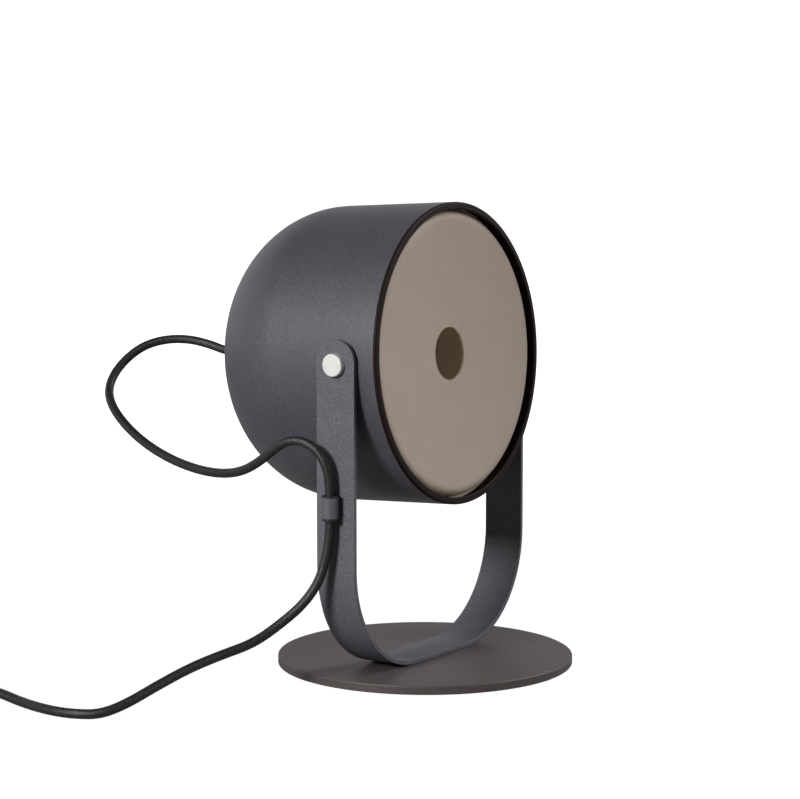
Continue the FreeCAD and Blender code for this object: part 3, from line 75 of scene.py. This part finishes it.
# Control points of the splines.
LOOP = [
    (0.0, 0.15396, 0.20325), (0.0, 0.16695, 0.20270),
    (-0.002, 0.182, 0.2075), (-0.0075, 0.1965, 0.211), (-0.0165, 0.210, 0.211),
    (-0.0275, 0.221, 0.207), (-0.0385, 0.228, 0.1985), (-0.050, 0.2305, 0.188),
    (-0.060, 0.2275, 0.1775), (-0.069, 0.217, 0.168), (-0.0765, 0.2005, 0.158),
    (-0.0845, 0.1795, 0.149), (-0.0925, 0.156, 0.142), (-0.0995, 0.1315, 0.137),
    (-0.106, 0.1075, 0.1345), (-0.111, 0.0855, 0.1345), (-0.1145, 0.0665, 0.138),
    (-0.116, 0.0515, 0.1455), (-0.1165, 0.0395, 0.1545), (-0.116, 0.0285, 0.161),
    (-0.1145, 0.0165, 0.161), (-0.113, 0.0065, 0.155), (-0.1115, 0.001, 0.145),
    (-0.110, 0.0, 0.132), (-0.110, 0.0, 0.1194),
]
LEAD = [
    (-0.110, 0.0, 0.1194), (-0.110, 0.0, 0.1045),
    (-0.111, 0.002, 0.089), (-0.114, 0.0055, 0.0725), (-0.121, 0.013, 0.058),
    (-0.132, 0.023, 0.046), (-0.1475, 0.033, 0.035), (-0.166, 0.0445, 0.0295),
    (-0.187, 0.053, 0.024), (-0.209, 0.061, 0.016), (-0.229, 0.068, 0.008),
    (-0.243, 0.077, 0.0032), (-0.251, 0.091, 0.0032), (-0.2525, 0.107, 0.0032),
    (-0.250, 0.124, 0.0032), (-0.2456, 0.141, 0.0032), (-0.243, 0.1663, 0.0065),
    (-0.243, 0.1915, 0.0065),
]
TAIL_START = [
    (-0.243, 0.2505, 0.0065), (-0.243, 0.2795, 0.0065), (-0.2462, 0.291, 0.0036),
]
TAIL_END = [
    (-0.191, 0.3401, 0.0086), (-0.174, 0.3402, 0.00685), (-0.160, 0.3402, 0.00685),
]

COIL_CENTRE = Vector((-0.2048, 0.302, 0.0))
COIL_TURNS = 4.25
COIL_STEPS = 24      # control points to a turn
COIL_START = 180.0   # degrees, where the coil takes up the cord from the switch
COIL_RADII = (0.0444, 0.0382, 0.0320)
COIL_HEIGHTS = (0.0031, 0.0093)
# Degrees along the coil at which its radius or height changes, and over which it does.
TO_SECOND, TO_INNER, UPWARDS, BACK_OUT = 220, 540, 860, 1180
COIL_CHANGE = 45
SPLINE_SHRINK = 0.9935  # the spline runs a little inside its control points


def ease(value, begin):
    """From 0 to 1 while the value passes one change of the coil."""
    t = min(max((value - begin) / COIL_CHANGE, 0.0), 1.0)
    return t * t * (3 - 2 * t)


def coil_points():
    """Four and a quarter neat turns: inwards, up a layer and outwards, each step of a turn
    taken once the turn above or inside it has moved on."""
    outside, second, inner = COIL_RADII
    low, high = COIL_HEIGHTS
    points = []
    for step in range(int(COIL_TURNS * COIL_STEPS) + 1):
        angle = step * 360.0 / COIL_STEPS
        radius = outside + (second - outside) * ease(angle, TO_SECOND)
        radius += (inner - second) * ease(angle, TO_INNER)
        radius += (second - inner) * ease(angle, BACK_OUT)
        height = low + (high - low) * ease(angle, UPWARDS)
        radius /= SPLINE_SHRINK
        place = math.radians(COIL_START - angle)
        points.append(COIL_CENTRE + Vector((radius * math.cos(place),
                                            radius * math.sin(place), height)))
    return points


TAIL = TAIL_START + [tuple(point) for point in coil_points()] + TAIL_END


def spline_line(name, points):
    """The points of a smooth NURBS spline through space, read from the curve itself."""
    data = bpy.data.curves.new(name, "CURVE")
    data.dimensions = "3D"
    data.resolution_u = SPLINE_STEPS
    spline = data.splines.new("NURBS")
    spline.points.add(len(points) - 1)
    for slot, point in zip(spline.points, points):
        slot.co = (*point, 1.0)
    spline.order_u = 3
    spline.use_endpoint_u = True
    curve = bpy.data.objects.new(name, data)
    scene.collection.objects.link(curve)
    bpy.context.view_layer.update()
    line = bpy.data.meshes.new_from_object(curve)
    found = [vertex.co.copy() for vertex in line.vertices]
    bpy.data.objects.remove(curve)
    bpy.data.curves.remove(data)
    bpy.data.meshes.remove(line)
    return found


def evenly(line, step):
    """The line again, with its points about a step apart, and its length."""
    lengths = [0.0]
    for a, b in zip(line, line[1:]):
        lengths.append(lengths[-1] + (b - a).length)
    count = max(2, round(lengths[-1] / step))
    result, at = [], 0
    for index in range(count + 1):
        target = lengths[-1] * index / count
        while at < len(line) - 2 and lengths[at + 1] < target:
            at += 1
        span = max(lengths[at + 1] - lengths[at], 1e-12)
        result.append(line[at].lerp(line[at + 1], min((target - lengths[at]) / span, 1.0)))
    return result, lengths[-1]


def tangents_along(line):
    last = len(line) - 1
    return [(line[min(index + 1, last)] - line[max(index - 1, 0)]).normalized()
            for index in range(len(line))]


def braid_height(around, along):
    """Relief of a plain braid, in parts of its depth: the yarn on top at this place."""
    a = YARNS * around + along / BRAID
    b = YARNS * around - along / BRAID
    over = (math.floor(a) + math.floor(b)) % 2 == 0
    u, v = (a % 1.0, b % 1.0) if over else (b % 1.0, a % 1.0)
    return math.sqrt(max(math.sin(math.pi * v), 0.0)) * (0.55 + 0.45 * math.sin(math.pi * u))


def braided_tube(name, route, sides, step):
    """A closed tube along the route with the braid's relief, its middle line and its length."""
    line, length = evenly(spline_line(name + "_line", route), step)
    tangents = tangents_along(line)
    normal = tangents[0].orthogonal().normalized()
    vertices, stations, travelled = [], [], 0.0
    for index, (centre, tangent) in enumerate(zip(line, tangents)):
        if index:
            travelled += (centre - line[index - 1]).length
            normal = (normal - tangent * normal.dot(tangent)).normalized()
        across = tangent.cross(normal)
        stations.append(travelled)
        for side in range(sides):
            angle = 2 * math.pi * side / sides
            reach = CORD / 2 - BRAID_DEPTH * (1 - braid_height(side / sides, travelled))
            vertices.append(centre + (normal * math.cos(angle) + across * math.sin(angle)) * reach)
    rings = len(line) - 1
    faces = []
    for ring in range(rings):
        for side in range(sides):
            following = (side + 1) % sides
            faces.append((ring * sides + side, ring * sides + following,
                          (ring + 1) * sides + following, (ring + 1) * sides + side))
    faces.append(tuple(reversed(range(sides))))
    faces.append(tuple(rings * sides + side for side in range(sides)))
    mesh = bpy.data.meshes.new(name)
    mesh.from_pydata(vertices, [], faces)
    layer = mesh.uv_layers.new(name="UVMap")
    for ring in range(rings):
        for side in range(sides):
            face = mesh.polygons[ring * sides + side]
            corners = ((side, ring), (side + 1, ring), (side + 1, ring + 1), (side, ring + 1))
            for corner, (s, r) in zip(face.loop_indices, corners):
                layer.data[corner].uv = (s / sides, stations[r] / (BRAID * YARNS))
    mesh.shade_smooth()
    mesh.validate()
    tube = bpy.data.objects.new(name, mesh)
    scene.collection.objects.link(tube)
    return tube, line, length


# The loop from the cord grip to the collar, baked in place and attached to no body.
loop, loop_line, loop_length = braided_tube("loop_braid", LOOP, 48, 0.0005)
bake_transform(loop)
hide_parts("cord_loop")

lead, lead_line, lead_length = braided_tube("lead_braid", LEAD, 48, 0.0005)
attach(lead, "stand")
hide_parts("cord_lead")

tail, tail_line, tail_length = braided_tube("tail_braid", TAIL, 32, 0.0008)
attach(tail, "stand")
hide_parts("cord_to_coil", "cord_coil", "cord_to_plug")


# ---------------------------------------------------------------- materials
class Tree:
    """A node tree, with short calls for the nodes that this scene uses."""

    def __init__(self, tree):
        self.tree = tree

    def add(self, kind, **values):
        node = self.tree.nodes.new(kind)
        for key, value in values.items():
            setattr(node, key, value)
        return node

    def link(self, source, target):
        self.tree.links.new(source, target)

    def place(self, output="Object", scale=(1, 1, 1)):
        mapping = self.add("ShaderNodeMapping")
        mapping.inputs["Scale"].default_value = scale
        self.link(self.add("ShaderNodeTexCoord").outputs[output], mapping.inputs["Vector"])
        return mapping.outputs["Vector"]

    def noise(self, vector, scale, detail=3.0, roughness=0.5):
        node = self.add("ShaderNodeTexNoise")
        node.inputs["Scale"].default_value = scale
        node.inputs["Detail"].default_value = detail
        node.inputs["Roughness"].default_value = roughness
        self.link(vector, node.inputs["Vector"])
        return node.outputs["Fac"]

    def between(self, value, low, high, from_low=0.3, from_high=0.7):
        node = self.add("ShaderNodeMapRange")
        for key, number in (("From Min", from_low), ("From Max", from_high),
                            ("To Min", low), ("To Max", high)):
            node.inputs[key].default_value = number
        self.link(value, node.inputs["Value"])
        return node.outputs["Result"]

    def ramp(self, value, *stops):
        node = self.add("ShaderNodeValToRGB")
        elements = node.color_ramp.elements
        while len(elements) < len(stops):
            elements.new(0.5)
        for element, (position, colour) in zip(elements, stops):
            element.position = position
            element.color = (*colour, 1.0)
        self.link(value, node.inputs["Fac"])
        return node.outputs["Color"]

    def math(self, operation, a, b=None):
        node = self.add("ShaderNodeMath", operation=operation)
        for slot, value in zip(node.inputs, (a, b)):
            if value is None:
                continue
            if isinstance(value, (int, float)):
                slot.default_value = value
            else:
                self.link(value, slot)
        return node.outputs["Value"]

    def blend(self, factor, first, second):
        node = self.add("ShaderNodeMix", data_type="RGBA")
        for value, slot in ((factor, "Factor_Float"), (first, "A_Color"), (second, "B_Color")):
            self.link(value, next(i for i in node.inputs if i.identifier == slot))
        return next(o for o in node.outputs if o.identifier == "Result_Color")

    def inwards(self, middle):
        """1 on the faces that look towards the middle, and 0 on the others."""
        source = self.add("ShaderNodeTexCoord")
        offset = self.add("ShaderNodeVectorMath", operation="SUBTRACT")
        offset.inputs[1].default_value = middle
        self.link(source.outputs["Object"], offset.inputs[0])
        facing = self.add("ShaderNodeVectorMath", operation="DOT_PRODUCT")
        self.link(offset.outputs["Vector"], facing.inputs[0])
        self.link(source.outputs["Normal"], facing.inputs[1])
        return self.math("LESS_THAN", facing.outputs["Value"], 0.0)

    def seen_share(self, reflected):
        """1 for what the camera sees, the reflected share for what metal and glass show of
        it, and 0 for the light that falls on the object."""
        rays = self.add("ShaderNodeLightPath").outputs
        clear = self.math("MAXIMUM", rays["Is Glossy Ray"], rays["Is Transmission Ray"])
        return self.math("MAXIMUM", rays["Is Camera Ray"],
                         self.math("MULTIPLY", clear, reflected))

    def surface(self, kind, colour, strength=None):
        node = self.add(kind)
        node.inputs["Color"].default_value = (*colour, 1.0)
        if strength is not None:
            node.inputs["Strength"].default_value = strength
        return node.outputs[0]

    def mixed_output(self, output, share, first, second):
        """Ends the tree in a mix of two shaders."""
        mix = self.add("ShaderNodeMixShader")
        for slot, source in zip(mix.inputs, (share, first, second)):
            self.link(source, slot)
        self.link(mix.outputs["Shader"], self.add(output).inputs["Surface"])


class Finish(Tree):
    """A material that keeps its principled shader."""

    def __init__(self, name):
        self.material = bpy.data.materials.new(name)
        self.material.use_nodes = True
        super().__init__(self.material.node_tree)
        self.shader = self.tree.nodes["Principled BSDF"]

    def dress(self, colour, roughness):
        self.link(colour, self.shader.inputs["Base Color"])
        self.link(roughness, self.shader.inputs["Roughness"])

    def bump(self, height, strength, distance):
        node = self.add("ShaderNodeBump")
        node.inputs["Strength"].default_value = strength
        node.inputs["Distance"].default_value = distance
        self.link(height, node.inputs["Height"])
        self.link(node.outputs["Normal"], self.shader.inputs["Normal"])

    def fixed(self, **values):
        for key, value in values.items():
            self.shader.inputs[key.replace("_", " ")].default_value = value


SHADE_MIDDLE = (0.0, 0.035, 0.208)
WHITE = (1.0, 1.0, 1.0)


def shaded(colour, factor):
    return tuple(min(channel * factor, 1.0) for channel in colour)


def powder(name, colour, roughness, lining=None, specular=0.45, sheen=WHITE):
    """Fine-textured powder coat: small pimples, a few brighter, on a softly mottled ground.
    A lining is the colour of the faces that look inwards, to the middle of the shade."""
    m = Finish(name)
    where = m.place()
    cloud, fleck = m.noise(where, 26.0, 4.0), m.noise(where, 1250.0, 2.0, 0.6)
    mixed = m.math("ADD", m.math("MULTIPLY", cloud, 0.15), m.math("MULTIPLY", fleck, 0.85))
    coat = m.ramp(mixed, (0.34, shaded(colour, 0.66)), (0.52, colour),
                  (0.68, shaded(colour, 1.60)))
    if lining:
        coat = m.blend(m.inwards(SHADE_MIDDLE), coat,
                       m.ramp(mixed, (0.30, shaded(lining, 0.94)), (0.70, lining)))
    m.dress(coat, m.between(fleck, roughness - 0.07, roughness + 0.09))
    m.bump(m.noise(where, 850.0, 3.0, 0.6), 0.35, 0.00012)
    m.fixed(Specular_IOR_Level=specular, Specular_Tint=(*sheen, 1.0))
    return m.material


def plain(name, colour, roughness, tint=0.10, scale=300.0, bump=0.15, distance=0.00005,
          metallic=0.0, specular=0.5, stretch=(1, 1, 1), clear=0.0):
    """Moulded, turned or plated stock with a fine grain and a slight change of tone."""
    m = Finish(name)
    where = m.place(scale=stretch)
    cloud, grain = m.noise(where, 40.0, 3.0), m.noise(where, scale, 3.0, 0.6)
    m.dress(m.ramp(cloud, (0.30, shaded(colour, 1 - tint)), (0.70, shaded(colour, 1 + tint))),
            m.between(grain, roughness - 0.06, roughness + 0.06))
    m.bump(grain, bump, distance)
    m.fixed(Metallic=metallic, Specular_IOR_Level=specular, Transmission_Weight=clear)
    return m.material


def textile(name):
    """Black braided yarn: crossing yarns with paler threads catching the light."""
    m = Finish(name)
    place = m.place("UV", (YARNS, YARNS, 1))
    uv = m.add("ShaderNodeSeparateXYZ")
    m.link(place, uv.inputs["Vector"])
    threads_to_a_yarn = 3
    fine = [m.math("SINE", m.math("MULTIPLY", m.math(way, uv.outputs["X"], uv.outputs["Y"]),
                                  2 * math.pi * threads_to_a_yarn))
            for way in ("ADD", "SUBTRACT")]
    threads = m.math("MULTIPLY", m.math("ADD", *fine), 0.25)
    yarn = m.math("ADD", threads, m.noise(place, 1.6, 3.0))
    m.dress(m.ramp(yarn, (0.25, (0.001, 0.001, 0.001)), (0.62, (0.003, 0.003, 0.003)),
                   (0.95, (0.050, 0.046, 0.040))),
            m.between(yarn, 0.34, 0.56, 0.2, 0.9))
    m.bump(yarn, 0.5, 0.00012)
    m.fixed(Specular_IOR_Level=0.42)
    return m.material


def glass(name):
    """Smooth opal glass, a little cloudy."""
    m = Finish(name)
    where = m.place()
    cloud = m.noise(where, 30.0, 2.0)
    m.dress(m.ramp(cloud, (0.3, (0.88, 0.87, 0.82)), (0.7, (0.93, 0.92, 0.88))),
            m.between(cloud, 0.14, 0.24))
    m.bump(m.noise(where, 120.0, 2.0), 0.05, 0.0001)
    m.fixed(Specular_IOR_Level=0.5)
    return m.material


# For each slot: its maker, colour, roughness and what differs from the maker's usual values.
STOCK = {
    # powder_coat, foot_coat and shade_coat are one black powder coat in three tones. The strap's
    # is lighter, as painted light. The foot's is warmer, as painted warm light, and its warm
    # specular tint is a painted reflection.
    "powder_coat": (powder, (0.076, 0.074, 0.088), 0.56, {}),
    "foot_coat": (powder, (0.046, 0.038, 0.038), 0.56,
                  {"specular": 0.65, "sheen": (1.0, 0.86, 0.85)}),
    "shade_coat": (powder, (0.048, 0.046, 0.058), 0.46,
                   {"lining": (0.93, 0.88, 0.77), "specular": 0.62}),
    "satin_nickel": (plain, (0.90, 0.89, 0.85), 0.40,
                     {"metallic": 1.0, "tint": 0.05, "scale": 900.0, "bump": 0.10,
                      "stretch": (0.1, 1, 1)}),
    "zinc_steel": (plain, (0.42, 0.43, 0.45), 0.38, {"metallic": 1.0, "scale": 500.0}),
    "black_steel": (plain, (0.012, 0.012, 0.013), 0.42, {"metallic": 0.6, "scale": 500.0}),
    "spring_steel": (plain, (0.33, 0.33, 0.35), 0.28,
                     {"metallic": 1.0, "scale": 600.0, "stretch": (1, 0.1, 1)}),
    "nylon": (plain, (0.012, 0.012, 0.013), 0.50, {"scale": 700.0}),
    "brass": (plain, (0.52, 0.36, 0.12), 0.30, {"metallic": 1.0, "scale": 500.0}),
    "diffuser_matt": (plain, (0.620, 0.528, 0.445), 0.72,
                      {"tint": 0.03, "scale": 500.0, "bump": 0.06, "specular": 0.30,
                       "clear": 0.64}),
    "ring_white": (plain, (0.62, 0.57, 0.48), 0.55, {"tint": 0.04}),
    "holder_plastic": (plain, (0.010, 0.010, 0.010), 0.38, {"scale": 600.0}),
    "holder_ceramic": (plain, (0.76, 0.74, 0.69), 0.60, {"tint": 0.04}),
    "bulb_metal": (plain, (0.62, 0.62, 0.62), 0.30, {"metallic": 1.0}),
    "rubber_pad": (plain, (0.012, 0.012, 0.012), 0.85,
                   {"scale": 900.0, "bump": 0.4, "distance": 0.0002, "specular": 0.3}),
    "switch_plastic": (plain, (0.009, 0.009, 0.010), 0.46, {"scale": 1400.0, "bump": 0.3}),
    "switch_steel": (plain, (0.36, 0.36, 0.38), 0.34, {"metallic": 1.0}),
    "plug_plastic": (plain, (0.009, 0.009, 0.010), 0.44, {"scale": 1400.0, "bump": 0.3}),
    "plug_metal": (plain, (0.62, 0.61, 0.58), 0.20, {"metallic": 1.0}),
    "trim_black": (plain, (0.011, 0.006, 0.005), 0.50,
                   {"scale": 900.0, "bump": 0.10, "specular": 0.08}),
    "bush_rubber": (plain, (0.010, 0.010, 0.010), 0.55,
                    {"scale": 900.0, "bump": 0.2, "specular": 0.4}),
}
FINISHES = {slot: maker(slot, colour, roughness, **values)
            for slot, (maker, colour, roughness, values) in STOCK.items()}
FINISHES["opal_glass"] = glass("opal_glass")
FINISHES["textile"] = textile("textile")

for entry in frame["record"]["subparts"]:
    mesh = nodes[entry["node"]].data
    mesh.materials.clear()
    mesh.materials.append(FINISHES[entry["material_slot"]])
for piece in (loop, lead, tail):
    piece.data.materials.append(FINISHES["textile"])

# ---------------------------------------------------------------- floor and light
FLOOR_REACH = 8.0
FLOOR_HEIGHT = -0.0004  # just below the pad and the cord, whose faces would flicker in it
LAMP_MIDDLE = (0, 0, 0.20)


def emptied(owner):
    owner.use_nodes = True
    owner.node_tree.nodes.clear()
    return Tree(owner.node_tree)


floor_mesh = bpy.data.meshes.new("floor")
floor_mesh.from_pydata([(x * FLOOR_REACH, y * FLOOR_REACH, FLOOR_HEIGHT)
                        for x, y in ((-1, -1), (1, -1), (1, 1), (-1, 1))], [], [(0, 1, 2, 3)])
floor = bpy.data.objects.new("floor", floor_mesh)
scene.collection.objects.link(floor)

# Seen by the camera, in metal or through glass, the floor turns white with distance.
floor_finish = bpy.data.materials.new("floor")
tree = emptied(floor_finish)
distance = tree.add("ShaderNodeVectorMath", operation="LENGTH")
tree.link(tree.add("ShaderNodeNewGeometry").outputs["Position"], distance.inputs[0])
whitening = tree.between(distance.outputs["Value"], 0.72, 1.0, from_low=0.35, from_high=1.3)
tree.mixed_output("ShaderNodeOutputMaterial",
                  tree.math("MULTIPLY", whitening, tree.seen_share(0.12)),
                  tree.surface("ShaderNodeBsdfDiffuse", (0.24, 0.23, 0.22)),
                  tree.surface("ShaderNodeEmission", WHITE, 1.35))
floor_mesh.materials.append(floor_finish)

# The backdrop stands behind the object and to its left, so metal and glass find it there.
world = bpy.data.worlds.new("studio")
scene.world = world
tree = emptied(world)
towards = tree.add("ShaderNodeVectorMath", operation="DOT_PRODUCT")
towards.inputs[1].default_value = (0.35, 0.94, -1.1)
tree.link(tree.add("ShaderNodeTexCoord").outputs["Generated"], towards.inputs[0])
backdrop = tree.between(towards.outputs["Value"], 0.028, 0.667, from_low=0.0, from_high=0.35)
tree.mixed_output("ShaderNodeOutputWorld", tree.seen_share(backdrop),
                  tree.surface("ShaderNodeBackground", WHITE, 0.05),
                  tree.surface("ShaderNodeBackground", WHITE, 1.08))


def area_light(name, place, size, power):
    data = bpy.data.lights.new(name, "AREA")
    data.shape = "RECTANGLE"
    data.size, data.size_y = size, size
    data.energy = power
    light = bpy.data.objects.new(name, data)
    scene.collection.objects.link(light)
    light.location = place
    aim = Vector(LAMP_MIDDLE) - Vector(place)
    light.rotation_euler = aim.to_track_quat("-Z", "Y").to_euler()


area_light("key", (-2.09, 0.24, 1.02), size=0.5, power=62.0)
area_light("front", (1.75, -1.87, 1.72), size=2.2, power=98.0)
